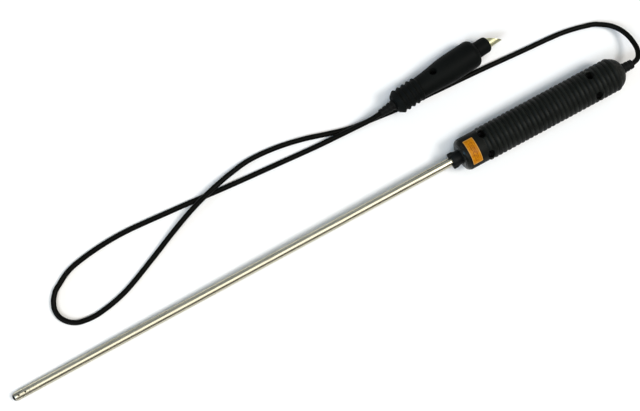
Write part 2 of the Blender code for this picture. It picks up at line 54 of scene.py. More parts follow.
# Probe, mm along its axis from the handle's front face
TUBE_R = 4.0
TUBE_BORE = 3.2
TUBE_OUT = 442.0
TUBE_IN = 42.0
TIP_END = 444.0
VENT_R = 0.65
VENT_START = 4.2
VENT_PITCH = 3.1
NUT_FRONT = -8.6
NUT_STEP = -5.2
NUT_REAR = 5.0
NUT_SKIRT_R = 5.6
LUG_FRONT = -10.3
LUG_REAR = -5.9
LUG_R = 2.5
LUG_OUT = 5.9
HANDLE_R = 16.0
GROOVE_R = 14.8
SMOOTH_R = 15.2
HANDLE_L = 170.0
RIB_START = 23.0
RIB_PITCH = 4.6
RIB_COUNT = 30
BOOT_OUT = 11.0
SCREW_ROWS = (24.4, 136.7)
SCREW_SIDE = 9.9
BOSS_R = 4.5
BOSS_BORE = 1.0
BOSS_TOP = 8.4
RECESS_R = 3.4
SCREW_SEAT = 3.0
SHANK_R = 1.45
SHANK_LOW = -6.9
CAVITY_R = 11.8
LEDGES = (54.0, 108.0)
HALF_SPLIT = 0.15
HANDLE_ROLL = math.radians(7.0)
LABEL_FROM = 5.5
LABEL_TO = 15.3
LABEL_HALF = math.radians(49.5)
LABEL_TURN = math.radians(-0.7)

CABLE_R = 2.4

# Plug, mm along its axis from its rear face
PLUG_R = 13.2
PLUG_L = 89.5
NOSE_R = 7.6
NOSE_L = 14.2
SHELL_R = 4.5
SHELL_WALL = 0.45
SHELL_L = 12.8
SHELL_SLANT = math.radians(52.0)
PLUG_RIDGE = 5.0
PLUG_RIDGE_PITCH = 5.07
PLUG_RIDGE_COUNT = 5
PLUG_RIDGE_R = 11.45
PLUG_GROOVE_R = 10.1
PLUG_ROLL = math.radians(-28.0)
PLUG_SCREW_AT = 43.6
PLUG_BOSS_TOP = 9.2
PLUG_BOOT_OUT = 15.5
PIN_COUNT = 4
PIN_CIRCLE_R = 2.1
PIN_R = 0.5
PLUG_REAR = (0.1018, 0.0691, 0.0155)

NUT_BORE = TUBE_R + GAP
BOOT_BORE = CABLE_R + GAP
NOSE_END = PLUG_L + NOSE_L
SHELL_END = NOSE_END + SHELL_L

# The lead's free run between its two boots, mm
FREE_ROUTE = [
    (320.4, 2.3, 19.1),
    (325.0, 9.0, 16.6),
    (326.5, 17.0, 13.4),
    (326.2, 25.5, 10.2),
    (323.6, 33.6, 7.2),
    (318.6, 40.6, 4.8),
    (311.2, 46.2, 3.3),
    (302.2, 50.4, 2.6),
    (274.6, 56.0, 2.5),
    (232.1, 58.6, 2.5),
    (188.6, 61.1, 2.5),
    (144.1, 63.0, 2.5),
    (108.1, 64.8, 2.5),
    (79.1, 67.5, 2.5),
    (59.1, 69.6, 2.5),
    (41.1, 73.9, 2.5),
    (16.1, 80.9, 2.5),
    (-9.9, 85.6, 2.5),
    (-34.9, 86.8, 3.2),
    (-55.9, 83.8, 5.6),
    (-78.9, 78.3, 7.7),
    (-100.9, 71.4, 7.4),
    (-125.9, 61.4, 4.6),
    (-150.5, 50.4, 2.6),
    (-185.9, 35.5, 2.5),
    (-212.9, 29.6, 2.5),
    (-229.4, 30.0, 2.5),
    (-238.9, 33.6, 2.5),
    (-245.3, 40.9, 2.5),
    (-247.0, 48.6, 2.5),
    (-245.3, 55.6, 2.5),
    (-241.3, 61.9, 2.5),
    (-234.6, 67.4, 2.5),
    (-213.9, 76.9, 2.5),
    (-169.9, 81.9, 2.5),
    (-115.9, 79.1, 2.5),
    (-62.9, 74.9, 2.5),
    (-11.9, 71.6, 2.5),
    (22.1, 69.4, 3.2),
    (44.1, 68.4, 5.9),
    (60.1, 67.7, 8.6),
    (75.6, 67.0, 13.0),
]

# ---------------------------------------------------------------- axis frames


def axis_frame(origin, direction):
    """Local Z along the direction, local X as near upright as that allows."""
    along = Vector(direction).normalized()
    side = along.cross(Vector((0, 0, 1))).normalized()
    up = side.cross(along)
    turn = Matrix((up, side, along)).transposed().to_4x4()
    return Matrix.Translation(Vector(origin)) @ turn


nut_joint = frame["joints"][0]
probe_axis = axis_frame(nut_joint["pos_m"], -Vector(nut_joint["axis"]))
handle_frame = probe_axis @ Matrix.Rotation(HANDLE_ROLL, 4, "Z")
label_frame = handle_frame @ Matrix.Rotation(LABEL_TURN, 4, "Z")
plug_mount = frame["record"]["mounts"][0]
plug_axis = axis_frame(PLUG_REAR, plug_mount["axis"])
plug_frame = plug_axis @ Matrix.Rotation(PLUG_ROLL, 4, "Z")


def on_axis(axis, distance):
    """The world point at a distance in mm along an axis frame."""
    return axis @ Vector((0, 0, distance * MM))


# ---------------------------------------------------------------- camera and stage

CAMERA_AT = (-0.1154, -0.0086, 1.0000)
CAMERA_TARGET = (0.0013, 0.0213, 0.0)
CAMERA_TURN = math.radians(-28.13)
SENSOR_WIDTH = 36.0
LENS = 63.16
FLOOR_HALF = 15.0


def add_camera():
    data = bpy.data.cameras.new("camera")
    data.sensor_width = SENSOR_WIDTH
    data.lens = LENS
    camera = bpy.data.objects.new("camera", data)
    bpy.context.scene.collection.objects.link(camera)
    forward = (Vector(CAMERA_TARGET) - Vector(CAMERA_AT)).normalized()
    level = Vector((math.cos(CAMERA_TURN), math.sin(CAMERA_TURN), 0))
    right = (level - level.dot(forward) * forward).normalized()
    up = right.cross(forward)
    turn = Matrix((right, up, -forward)).transposed().to_4x4()
    camera.matrix_world = Matrix.Translation(CAMERA_AT) @ turn
    bpy.context.scene.camera = camera


def soft_light(name, source, strength, spread, color):
    """A soft, distant light from the direction of source, spread over an angle in degrees."""
    data = bpy.data.lights.new(name, "SUN")
    data.energy = strength
    data.angle = math.radians(spread)
    data.color = color
    light = bpy.data.objects.new(name, data)
    bpy.context.scene.collection.objects.link(light)
    light.matrix_world = Vector(source).to_track_quat("Z", "Y").to_matrix().to_4x4()


# ---------------------------------------------------------------- materials


class Paint:
    """A procedural material: a Principled shader and short ways to feed it."""

    def __init__(self, name, color, roughness, metallic=0.0, specular=0.5):
        self.material = bpy.data.materials.new(name)
        self.material.use_nodes = True
        self.tree = self.material.node_tree
        self.shader = self.tree.nodes["Principled BSDF"]
        self.set("Base Color", (*color, 1.0))
        self.set("Roughness", roughness)
        self.set("Metallic", metallic)
        self.set("Specular IOR Level", specular)
        self.material.diffuse_color = (*color, 1.0)
        self.place = self.node("ShaderNodeTexCoord").outputs["Object"]

    def set(self, socket, value):
        self.shader.inputs[socket].default_value = value

    def node(self, kind, inputs=None, **settings):
        made = self.tree.nodes.new(kind)
        for key, value in settings.items():
            setattr(made, key, value)
        for key, value in (inputs or {}).items():
            if isinstance(value, bpy.types.NodeSocket):
                self.tree.links.new(value, made.inputs[key])
            else:
                made.inputs[key].default_value = value
        return made

    def mapped(self, scale):
        """The place on the piece, scaled along each axis."""
        inputs = {"Vector": self.place, "Scale": scale}
        return self.node("ShaderNodeMapping", inputs).outputs["Vector"]

    def noise(self, scale, detail=3.0, where=None):
        inputs = {
            "Vector": self.place if where is None else where,
            "Scale": scale,
            "Detail": detail,
        }
        return self.node("ShaderNodeTexNoise", inputs).outputs["Fac"]

    def cells(self, scale):
        inputs = {"Vector": self.place, "Scale": scale}
        return self.node("ShaderNodeTexVoronoi", inputs).outputs["Distance"]

    def ramp(self, factor, low, high, from_value=0.0, to_value=1.0):
        """The factor's stretch low..high mapped to from_value..to_value, held outside it."""
        inputs = {
            "Value": factor,
            "From Min": low,
            "From Max": high,
            "To Min": from_value,
            "To Max": to_value,
        }
        return self.node("ShaderNodeMapRange", inputs, clamp=True).outputs["Result"]

    def maths(self, operation, first, second):
        inputs = {0: first, 1: second}
        return self.node("ShaderNodeMath", inputs, operation=operation).outputs["Value"]

    def radius(self):
        """Distance from the piece's own Z axis, in mm."""
        inputs = {0: self.place, 1: (1 / MM, 1 / MM, 0)}
        flat = self.node("ShaderNodeVectorMath", inputs, operation="MULTIPLY").outputs["Vector"]
        return self.node("ShaderNodeVectorMath", {0: flat}, operation="LENGTH").outputs["Value"]

    def height(self):
        """Distance along the piece's own Z axis, in mm."""
        split = self.node("ShaderNodeSeparateXYZ", {"Vector": self.place})
        return self.maths("MULTIPLY", split.outputs["Z"], 1 / MM)

    def blend(self, factor, first, second):
        """Two colours, each a socket or three numbers, mixed by a factor."""
        made = self.node("ShaderNodeMix", data_type="RGBA")
        self.tree.links.new(factor, made.inputs[0])
        for slot, value in ((6, first), (7, second)):
            if isinstance(value, bpy.types.NodeSocket):
                self.tree.links.new(value, made.inputs[slot])
            else:
                made.inputs[slot].default_value = (*value, 1.0)
        return made.outputs[2]

    def feed(self, socket, value):
        self.tree.links.new(value, self.shader.inputs[socket])

    def bump(self, height, depth, strength=1.0):
        """Relief of the given depth in mm."""
        inputs = {"Height": height, "Distance": depth * MM, "Strength": strength}
        self.feed("Normal", self.node("ShaderNodeBump", inputs).outputs["Normal"])


def shade(color, factor):
    return tuple(min(1.0, c * factor) for c in color)


def drawn_steel():
    """Drawn tube: long streaks, light handling marks, grime and wear by the tip."""
    color = (0.70, 0.668, 0.535)
    paint = Paint("steel", color, 0.24, 1.0)
    paint.set("Specular Tint", (0.16, 0.145, 0.09, 1.0))
    streaks = paint.noise(1500, 4, paint.mapped((1, 1, 0.02)))
    blotches = paint.noise(45, 3)
    base = paint.blend(paint.ramp(streaks, 0.3, 0.7), shade(color, 0.9), shade(color, 1.1))
    stain = paint.ramp(blotches, 0.52, 0.72, 0.0, 0.45)
    base = paint.blend(stain, base, (0.42, 0.39, 0.33))
    near_tip = paint.ramp(paint.height(), -TIP_END, -TIP_END + 30, 1.0, 0.0)
    specks = paint.ramp(paint.noise(420, 4), 0.55, 0.66)
    grime = paint.maths("MULTIPLY", near_tip, specks)
    paint.feed("Base Color", paint.blend(grime, base, (0.16, 0.15, 0.11)))
    rough = paint.ramp(streaks, 0.25, 0.75, 0.17, 0.30)
    rough = paint.maths("ADD", rough, paint.ramp(blotches, 0.45, 0.75, 0.0, 0.10))
    paint.feed("Roughness", rough)
    paint.bump(streaks, 0.02, 0.5)
    return paint.material


def turned_metal(name, color, rough):
    """Turned or pressed metal: fine rings round its axis."""
    paint = Paint(name, color, rough, 1.0)
    rings = paint.noise(3000, 3, paint.mapped((0.03, 0.03, 1)))
    dull = paint.noise(160, 3)
    base = paint.blend(paint.ramp(rings, 0.3, 0.7), shade(color, 0.86), shade(color, 1.08))
    stain = paint.ramp(dull, 0.5, 0.75, 0.0, 0.5)
    paint.feed("Base Color", paint.blend(stain, base, shade(color, 0.6)))
    paint.feed("Roughness", paint.ramp(dull, 0.3, 0.7, rough * 0.8, rough * 1.35))
    paint.bump(rings, 0.015, 0.5)
    return paint.material


def moulded(name, color, rough, grain=2400, depth=0.03, shine=0.09, crest=None, groove=None, front=None):
    """Moulded plastic: spark-eroded grain, uneven sheen, polished crests and dusty grooves.

    crest and groove are (start, end) radii in mm about the piece's own axis, and front is a
    (start, end) stretch along it, over which a rubbed, shinier front edge fades away.
    """
    paint = Paint(name, color, rough, 0.0, shine)
    fine = paint.noise(grain, 3)
    cloud = paint.noise(55, 4)
    base = paint.blend(paint.ramp(cloud, 0.3, 0.7), shade(color, 0.82), shade(color, 1.2))
    gloss = paint.ramp(cloud, 0.3, 0.7, rough * 0.88, rough * 1.14)
    if crest or groove:
        radius = paint.radius()
    if groove:
        deep = paint.ramp(radius, *groove, 1.0, 0.0)
        dust = paint.maths("MULTIPLY", deep, paint.ramp(paint.noise(380, 4), 0.42, 0.68))
        base = paint.blend(dust, base, (0.022, 0.021, 0.018))
    if crest:
        proud = paint.ramp(radius, *crest)
        rub = paint.maths("MULTIPLY", proud, paint.ramp(paint.noise(150, 4), 0.40, 0.66))
        base = paint.blend(rub, base, shade(color, 2.2))
        gloss = paint.maths("SUBTRACT", gloss, paint.maths("MULTIPLY", rub, 0.12))
    if front:
        edge = paint.ramp(paint.height(), *front, 1.0, 0.0)
        gloss = paint.maths("SUBTRACT", gloss, paint.maths("MULTIPLY", edge, 0.34))
    paint.feed("Base Color", base)
    paint.feed("Roughness", gloss)
    paint.bump(fine, depth, 0.55)
    return paint.material


def rubbery(name, color, rough, shine=0.10, speck=(0.030, 0.029, 0.026)):
    """Soft plastic or rubber: matt, with a little lint and handling sheen."""
    paint = Paint(name, color, rough, 0.0, shine)
    cloud = paint.noise(70, 4)
    base = paint.blend(paint.ramp(cloud, 0.3, 0.7), shade(color, 0.8), shade(color, 1.3))
    lint = paint.ramp(paint.noise(950, 5), 0.66, 0.74, 0.0, 0.6)
    paint.feed("Base Color", paint.blend(lint, base, speck))
    paint.feed("Roughness", paint.ramp(cloud, 0.3, 0.7, rough * 0.85, rough * 1.15))
    paint.bump(paint.noise(1800, 3), 0.02, 0.5)
    return paint.material


def label_film():
    """Orange film with a pale border, a few generic dark bars and a thin dark rim of painted shade along its edge.
    UV is in mm.
    """
    paint = Paint("label", (0.45, 0.16, 0.004), 0.5, 0.0, 0.12)
    uv = paint.node("ShaderNodeUVMap").outputs["UV"]
    split = paint.node("ShaderNodeSeparateXYZ", {"Vector": uv})
    across, along = split.outputs["X"], split.outputs["Y"]
    half_wide = LABEL_HALF * SMOOTH_R
    half_tall = 0.5 * (LABEL_TO - LABEL_FROM)
    blur = 0.12
    mottle = paint.noise(420, 4)
    base = paint.blend(paint.ramp(mottle, 0.35, 0.65), (0.39, 0.128, 0.001), (0.54, 0.200, 0.003))

    def inside(value, middle, half):
        """1 where the value is within half of the middle."""
        away = paint.maths("ABSOLUTE", paint.maths("SUBTRACT", value, middle), 0.0)
        return paint.ramp(away, half - blur, half + blur, 1.0, 0.0)

    def within(side, end):
        """1 inside the film, less a margin in mm at its sides and ends."""
        wide = inside(across, 0.0, half_wide - side)
        return paint.maths("MULTIPLY", wide, inside(along, 0.0, half_tall - end))

    for middle, half_long, row, half_thick in (
        (-1.0, 7.6, 1.55, 0.42),
        (-3.4, 5.2, 0.15, 0.34),
        (5.6, 1.9, 0.15, 0.34),
        (0.9, 9.0, -1.35, 0.42),
    ):
        bar = paint.maths("MULTIPLY", inside(across, middle, half_long), inside(along, row, half_thick))
        broken = paint.ramp(paint.noise(900, 3), 0.40, 0.52)
        bar = paint.maths("MULTIPLY", bar, paint.maths("MULTIPLY", broken, 0.75))
        base = paint.blend(bar, base, (0.17, 0.040, 0.003))
    base = paint.blend(within(0.75, 0.65), (0.64, 0.36, 0.09), base)
    # painted shade: the film's outermost edge is darkened, standing in for the shadow where it meets its seat
    base = paint.blend(within(0.28, 0.24), (0.10, 0.03, 0.008), base)
    paint.feed("Base Color", base)
    paint.feed("Roughness", paint.ramp(mottle, 0.3, 0.7, 0.34, 0.5))
    paint.bump(mottle, 0.02, 0.5)
    return paint.material


def circuit_board():
    """Solder resist with tracks and vias showing through."""
    paint = Paint("board", (0.03, 0.16, 0.07), 0.42)
    inputs = {"Vector": paint.place, "Scale": 420.0, "Mortar Size": 0.10}
    tracks = paint.node("ShaderNodeTexBrick", inputs).outputs["Fac"]
    vias = paint.ramp(paint.cells(330), 0.05, 0.12, 1.0, 0.0)
    base = paint.blend(tracks, (0.02, 0.13, 0.05), (0.05, 0.24, 0.10))
    paint.feed("Base Color", paint.blend(vias, base, (0.70, 0.62, 0.40)))
    paint.feed("Roughness", paint.ramp(paint.noise(300), 0.3, 0.7, 0.35, 0.5))
    paint.bump(tracks, 0.03, 0.6)
    return paint.material


materials = {
    "steel": drawn_steel(),
    "plated": turned_metal("plated", (0.66, 0.65, 0.42), 0.45),
    "contact_gold": turned_metal("contact_gold", (0.85, 0.62, 0.28), 0.28),
    # painted shade: the screws are near-black, standing in for the shade of the deep recesses they sit in
    "zinc_screw": turned_metal("zinc_screw", (0.011, 0.011, 0.012), 0.6),
    "brass": turned_metal("brass", (0.72, 0.55, 0.28), 0.34),
    "handle_plastic": moulded(
        "handle_plastic",
        (0.0050, 0.0058, 0.0048),
        0.55,
        shine=0.10,
        crest=(15.65, 16.0),
        groove=(14.8, 15.2),
        front=(2.4, 4.4),
    ),
    "nose_plastic": moulded("nose_plastic", (0.0055, 0.0062, 0.0066), 0.45, grain=3000, depth=0.02),
    "plug_plastic": moulded(
        "plug_plastic", (0.0047, 0.0055, 0.0052), 0.55, grain=3200, depth=0.02, shine=0.035
    ),
    "rubber": rubbery("rubber", (0.0045, 0.0048, 0.0046), 0.6),
    "cable_jacket": rubbery(
        "cable_jacket", (0.0026, 0.0027, 0.0021), 0.40, shine=0.045, speck=(0.014, 0.014, 0.012)
    ),
    "label": label_film(),
    "board": circuit_board(),
    "chip": moulded("chip", (0.03, 0.03, 0.03), 0.5, grain=5000),
    "white_plastic": moulded("white_plastic", (0.75, 0.73, 0.66), 0.45, grain=3500),
}


def floor_paper():
    """White table paper with a faint fibre and tooth."""
    paint = Paint("floor_paper", (0.90, 0.895, 0.89), 0.8)
    tint = paint.noise(2.2, 2)
    fibre = paint.noise(700, 3)
    base = paint.blend(paint.ramp(tint, 0.35, 0.65), (0.885, 0.888, 0.90), (0.915, 0.905, 0.885))
    base = paint.blend(paint.ramp(fibre, 0.3, 0.7, 0.0, 0.05), base, (0.82, 0.82, 0.82))
    paint.feed("Base Color", base)
    paint.bump(fibre, 0.03, 0.3)
    return paint.material


# ---------------------------------------------------------------- geometry tools


def soften(corners, closed=False, arc_steps=4):
    """(z, r) points from (z, r, fillet) corners: a corner with a fillet becomes an arc."""
    points = []
    count = len(corners)
    for index, corner in enumerate(corners):
        here = Vector(corner[:2])
        fillet = corner[2] if len(corner) > 2 else 0.0
        at_end = not closed and index in (0, count - 1)
        if not fillet or at_end:
            points.append(tuple(here))
            continue
        before = Vector(corners[index - 1][:2]) - here
        after = Vector(corners[(index + 1) % count][:2]) - here
        half = 0.5 * before.angle(after)
        reach = fillet / math.tan(half) if half > 0.01 else 0.0
        reach = min(reach, 0.48 * before.length, 0.48 * after.length)
        start = here + before.normalized() * reach
        end = here + after.normalized() * reach
        for step in range(arc_steps + 1):
            t = step / arc_steps
            spot = (1 - t) ** 2 * start + 2 * t * (1 - t) * here + t * t * end
            points.append(tuple(spot))
    return points


def new_piece(name, form, slot, axis):
    """A mesh object from a bmesh, placed on an axis frame, with its slot's material."""
    bmesh.ops.recalc_face_normals(form, faces=form.faces)
    mesh = bpy.data.meshes.new(name)
    form.to_mesh(mesh)
    form.free()
    made = bpy.data.objects.new(name, mesh)
    bpy.context.scene.collection.objects.link(made)
    made.matrix_world = axis
    if slot is not None:
        mesh.materials.append(materials[slot])
        mesh.shade_smooth()
        mesh.set_sharp_from_angle(angle=CREASE)
    return made


def lathe_form(outline, turns, closed, around):
    """A bmesh swept through the turns (radians); around says that it is a full turn."""
    form = bmesh.new()
    rings = []
    for z, r in outline:
        if r < 1e-6:
            rings.append([form.verts.new((0, 0, z * MM))] * len(turns))
        else:
            ring = [(r * math.cos(a) * MM, r * math.sin(a) * MM, z * MM) for a in turns]
            rings.append([form.verts.new(spot) for spot in ring])
    pairs = list(zip(rings, rings[1:]))
    if closed:
        pairs.append((rings[-1], rings[0]))
    steps = len(turns) if around else len(turns) - 1
    for low, high in pairs:
        for i in range(steps):
            j = (i + 1) % len(turns)
            corners = []
            for vert in (low[i], low[j], high[j], high[i]):
                if vert not in corners:
                    corners.append(vert)
            if len(corners) > 2:
                form.faces.new(corners)
    return form, rings


def lathe(name, corners, slot, axis, steps=72, closed=False):
    """A full turn of a softened outline."""
    turns = [math.tau * i / steps for i in range(steps)]
    form, _ = lathe_form(soften(corners, closed), turns, closed, True)
    return new_piece(name, form, slot, axis)


def block(name, low, high, axis):
    """A box between two corners in mm, for cutting or joining."""
    form = bmesh.new()
    bmesh.ops.create_cube(form, size=1.0)
    size = [(b - a) * MM for a, b in zip(low, high)]
    middle = [(a + b) * 0.5 * MM for a, b in zip(low, high)]
    bmesh.ops.scale(form, vec=size, verts=form.verts)
    bmesh.ops.translate(form, vec=middle, verts=form.verts)
    return new_piece(name, form, None, axis)


def carve(target, tools, operation="DIFFERENCE"):
    """Cuts the tools from the target, or joins them, and removes the tools."""
    for tool in tools:
        cut = target.modifiers.new(tool.name, "BOOLEAN")
        cut.operation = operation
        cut.solver = "EXACT"
        cut.object = tool
    bpy.context.view_layer.update()
    graph = bpy.context.evaluated_depsgraph_get()
    mesh = bpy.data.meshes.new_from_object(target.evaluated_get(graph))
    target.modifiers.clear()
    old = target.data
    target.data = mesh
    bpy.data.meshes.remove(old)
    for tool in tools:
        bpy.data.objects.remove(tool)
    mesh.shade_smooth()
    mesh.set_sharp_from_angle(angle=CREASE)


def finish_piece(piece, body, slot, *nodes):
    """Hangs a piece on its body and hides the CAD nodes that it stands for. The slot is not used."""
    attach(piece, body)
    if nodes:
        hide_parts(*nodes)
    return piece


def spun(axis, degrees):
    """The axis frame turned about its own Z."""
    return axis @ Matrix.Rotation(math.radians(degrees), 4, "Z")


def upright(axis, side, along):
    """A frame whose Z is the axis frame's upper side, at a place in mm across and along."""
    spot = Matrix.Translation((0, side * MM, along * MM))
    return axis @ spot @ Matrix.Rotation(math.pi / 2, 4, "Y")


# ---------------------------------------------------------------- probe tube and tip


def probe_tube():
    corners = [(-TUBE_OUT, TUBE_BORE, 0.15), (-TUBE_OUT, 3.45, 0.15)]
    corners += [(-TUBE_OUT + 0.6, 3.85, 0.6), (-TUBE_OUT + 1.4, TUBE_R, 0.6)]
    corners += [(-TUBE_OUT + 1.4 * step, TUBE_R) for step in range(2, 12)]
    corners += [(-TUBE_OUT + 40 * step, TUBE_R) for step in range(1, 11)]
    corners += [(TUBE_IN, TUBE_R, 0.2), (TUBE_IN, TUBE_BORE, 0.2)]
    corners += [(-TUBE_OUT + 1.4 * step, TUBE_BORE) for step in range(11, 0, -1)]
    tube = lathe("lance_tube", corners, "steel", probe_axis, 96, True)
    holes = []
    flare = [(-5.0, 0), (-5.0, 1.55), (-3.7, VENT_R), (3.7, VENT_R), (5.0, 1.55), (5.0, 0)]
    for row in range(3):
        place = -TUBE_OUT + VENT_START + VENT_PITCH * row
        for step in range(2):
            at_hole = upright(spun(probe_axis, 90 * step + 45 * (row % 2)), 0, place)
            holes.append(lathe(f"hole_{row}_{step}", flare, None, at_hole, 24))
    carve(tube, holes)
    return finish_piece(tube, "root", "steel", "probe_tube")


def tip_plug():
    corners = [
        (-TIP_END, 0),
        (-TIP_END + 0.02, 1.6, 0.8),
        (-TIP_END + 0.4, 2.4, 0.6),
        (-TIP_END + 1.0, 3.0, 0.6),
        (-TUBE_OUT - GAP, 3.4, 0.15),
        (-TUBE_OUT - GAP, TUBE_BORE - GAP, 0.1),
        (-TUBE_OUT + 2.2, TUBE_BORE - GAP, 0.2),
        (-TUBE_OUT + 2.6, 2.4, 0.1),
        (-TUBE_OUT + 2.6, 0),
    ]
    plug = lathe("lance_tip", corners, "nose_plastic", probe_axis)
    return finish_piece(plug, "root", "nose_plastic", "tip_plug")


# ---------------------------------------------------------------- clamp nut


def clamp_nut():
    corners = [
        (NUT_FRONT, NUT_BORE, 0.3),
        (NUT_FRONT, 6.4, 0.5),
        (-7.8, 7.2, 0.6),
        (-5.0, 7.4, 0.8),
        (-2.6, 6.7, 1.0),
        (NUT_REAR, 6.6, 0.2),
        (NUT_REAR, NUT_SKIRT_R, 0.1),
        (NUT_STEP, NUT_SKIRT_R, 0.1),
        (NUT_STEP, NUT_BORE, 0.2),
    ]
    nut = lathe("lance_clamp_nut", corners, "nose_plastic", probe_axis, 96, True)
    lugs = []
    outline = [(LUG_FRONT, 0), (LUG_FRONT, LUG_R, 0.9), (LUG_REAR, LUG_R), (LUG_REAR, 0)]
    for number in range(3):
        turn = spun(probe_axis, 60 + 120 * number) @ Matrix.Translation((LUG_OUT * MM, 0, 0))
        lugs.append(lathe(f"lug_{number}", outline, None, turn, 36))
    carve(nut, lugs, "UNION")
    # the lugs reach into the bore, so it is cut again
    bore = [(-12, 0), (-12, NUT_BORE), (-5.6, NUT_BORE), (-5.6, 0)]
    carve(nut, [lathe("nut_bore", bore, None, probe_axis)])
    return finish_piece(nut, "nut", "nose_plastic", "clamp_nut")


# ---------------------------------------------------------------- handle


def handle_outline():
    """The closed handle's outside: rounded front, smooth band, rounded ribs, domed rear."""
    corners = [
        (0, 6.9),
        (0, 10.8, 1.2),
        (1.0, 13.2, 1.6),
        (2.6, 14.6, 1.8),
        (4.6, SMOOTH_R, 1.2),
        (RIB_START - 0.9, SMOOTH_R, 0.3),
    ]
    points = soften(corners)
    for rib in range(RIB_COUNT):
        start = RIB_START + rib * RIB_PITCH
        for step in range(8):
            t = step / 8
            swell = 1 - abs(2 * t - 1) ** 2.4
            points.append((start + t * RIB_PITCH, GROOVE_R + swell * (HANDLE_R - GROOVE_R)))
    rear = [
        (RIB_START + RIB_COUNT * RIB_PITCH, GROOVE_R),
        (162.8, 14.1, 1.6),
        (165.0, 12.8, 3.0),
        (167.0, 11.0, 3.0),
        (168.8, 8.5, 2.0),
        (HANDLE_L, 5.9, 0.8),
        (HANDLE_L, 4.3),
    ]
    return points + soften(rear)


def handle_inside():
    """The cavity's wall, from the rear hole back to the front hole."""
    return [
        (162.0, 4.3),
        (162.0, 7.3),
        (158.3, 7.3),
        (155.0, 10.6),
        (152.0, CAVITY_R),
        (12.0, CAVITY_R),
        (12.0, 6.8),
        (8.9, 6.8),
        (8.9, 9.3),
        (5.3, 9.3),
        (5.3, 6.9),
    ]


def half_shell(name, outside, inside, side, slot, axis, steps):
    """One half of a split shell, side 1 upper or -1 lower, its joint edges chamfered."""
    near = math.radians(0.9)
    inner = [near + (math.pi - 2 * near) * i / steps for i in range(steps + 1)]
    turns = [a - math.pi / 2 for a in (0.0, *inner, math.pi)]
    form, rings = lathe_form(outside + inside, turns, True, False)
    chamfer = 0.22
    for ring, (z, r) in zip(rings, outside + inside):
        on_outside = r > outside[0][1] + 0.5 and ring in rings[: len(outside)]
        for end, sign in ((0, -1), (-1, 1)):
            reach = r - (chamfer if on_outside else 0.0)
            ring[end].co = (HALF_SPLIT * MM, sign * reach * MM, z * MM)
    form.faces.new([ring[0] for ring in rings])
    form.faces.new([ring[-1] for ring in reversed(rings)])
    if side < 0:
        axis = axis @ Matrix.Rotation(math.pi, 4, "Z")
    return new_piece(name, form, slot, axis)


def screw_tools(name, axis, side, along, seat, recess, upper):
    """Cutters for one screw: the head's recess in the upper half, and the shaft's hole."""
    place = upright(axis, side, along)
    tools = []
    if upper:
        mouth = recess + 0.12
        outline = [(seat, 0), (seat, recess, 0.4), (seat + 9, mouth), (seat + 16, mouth), (seat + 16, 0)]
        tools.append(lathe(f"{name}_recess", outline, None, place, 40))
    hole_r = SHANK_R + GAP
    outline = [(-7.3, 0), (-7.3, hole_r), (5.0, hole_r), (5.0, 0)]
    tools.append(lathe(f"{name}_shaft", outline, None, place, 24))
    return tools


def screw_boss(name, axis, side, along, top, outer, upper):
    """A hollow post round a screw, from the split to top mm above or below it."""
    place = upright(axis, side, along)
    low, high = (HALF_SPLIT, top) if upper else (-top, -HALF_SPLIT)
    corners = [(low, BOSS_BORE), (low, outer, 0.3), (high, outer), (high, BOSS_BORE)]
    return lathe(name, corners, None, place, 36, True)


def handle_half(side):
    upper = side > 0
    word = "upper" if upper else "lower"
    shell = half_shell(
        f"handle_{word}_half", handle_outline(), handle_inside(), side, "handle_plastic", handle_frame, 88
    )
    bosses, tools = [], []
    for row, along in enumerate(SCREW_ROWS):
        for across in (-SCREW_SIDE, SCREW_SIDE):
            name = f"{word}_{row}_{'left' if across < 0 else 'right'}"
            # the post runs into the shell's wall, inside its outer skin
            bosses.append(screw_boss(f"boss_{name}", handle_frame, across, along, BOSS_TOP, BOSS_R, upper))
            tools += screw_tools(f"tool_{name}", handle_frame, across, along, SCREW_SEAT, RECESS_R, upper)
    carve(shell, bosses, "UNION")
    if upper:
        tools.append(label_seat())
    carve(shell, tools)
    if not upper:
        for place in LEDGES:
            ledge = block(f"ledge_{place:.0f}", (-11.0, -9.0, place), (-5.4, 9.0, place + 3), handle_frame)
            carve(shell, [ledge], "UNION")
    return finish_piece(shell, "root", "handle_plastic", f"handle_{word}_shell")


def arc_plate(name, low_r, high_r, z0, z1, half_angle, corner, slot, axis):
    """A plate bent round the axis, with rounded corners; its UV is arc and length in mm."""
    form = bmesh.new()
    layer = form.loops.layers.uv.new("UVMap")
    rows, steps = 12, 48
    edge = 0.06
    middle, half_tall = 0.5 * (z0 + z1), 0.5 * (z1 - z0)
    half_wide = half_angle * high_r
    shells = []
    for r in (low_r, high_r - edge, high_r):
        inset = 0.0 if r < high_r else edge
        grid = []
        for row in range(rows + 1):
            tall = (2 * row / rows - 1) * half_tall
            over = max(0.0, abs(tall) - (half_tall - corner))
            pull = corner - math.sqrt(max(0.0, corner * corner - over * over))
            wide = half_wide - pull - inset
            tall_here = tall * (1 - inset / half_tall)
            line = []
            for step in range(steps + 1):
                arc = (2 * step / steps - 1) * wide
                a = arc / high_r
                spot = (r * math.cos(a) * MM, r * math.sin(a) * MM, (middle + tall_here) * MM)
                line.append((form.verts.new(spot), (arc, tall_here)))
            grid.append(line)
        shells.append(grid)

    def face(*corners):
        made = form.faces.new([vert for vert, _ in corners])
        for loop, (_, uv) in zip(made.loops, corners):
            loop[layer].uv = uv

    for grid in (shells[0], shells[-1]):
        for row in range(rows):
            for step in range(steps):
                face(grid[row][step], grid[row][step + 1], grid[row + 1][step + 1], grid[row + 1][step])
    for low, high in zip(shells, shells[1:]):
        for step in range(steps):
            for row in (0, rows):
                face(low[row][step], low[row][step + 1], high[row][step + 1], high[row][step])
        for row in range(rows):
            for step in (0, steps):
                face(low[row][step], low[row + 1][step], high[row + 1][step], high[row][step])
    return new_piece(name, form, slot, axis)


